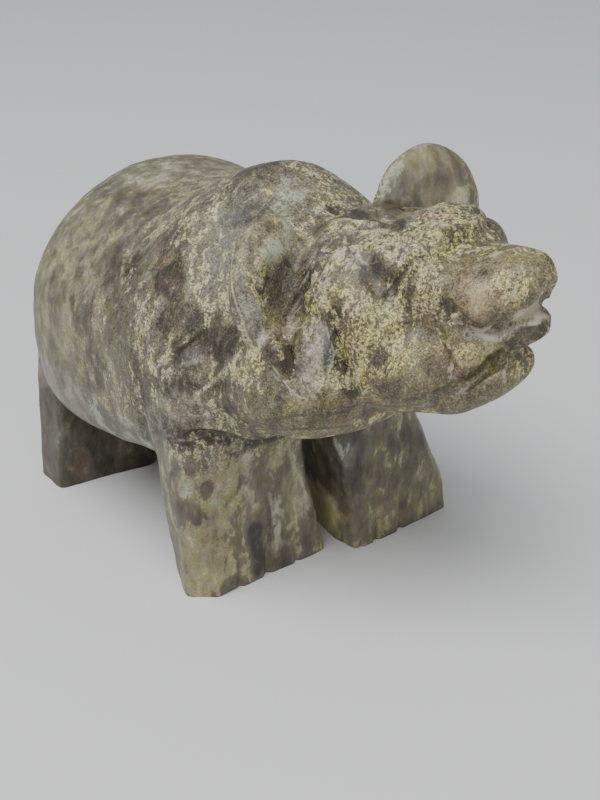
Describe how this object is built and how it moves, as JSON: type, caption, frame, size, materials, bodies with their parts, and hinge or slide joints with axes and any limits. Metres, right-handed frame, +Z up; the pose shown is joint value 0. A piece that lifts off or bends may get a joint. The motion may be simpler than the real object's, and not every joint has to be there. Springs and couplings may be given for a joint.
{
  "type": "stone bear carving",
  "caption": "Small standing bear carved and polished from one piece of mottled olive stone, with a raised open-mouthed head and block legs.",
  "frame": {"origin": "centre of the bounding box, on the plane the four soles stand on", "axes": "+Z up, the bear faces -Y, its left side is at +X"},
  "size_m": [0.0508, 0.0876, 0.062],
  "materials": {
    "stone": "satin"
  },
  "bodies": {
    "root": {"bear": "stone"}
  },
  "joints": []
}
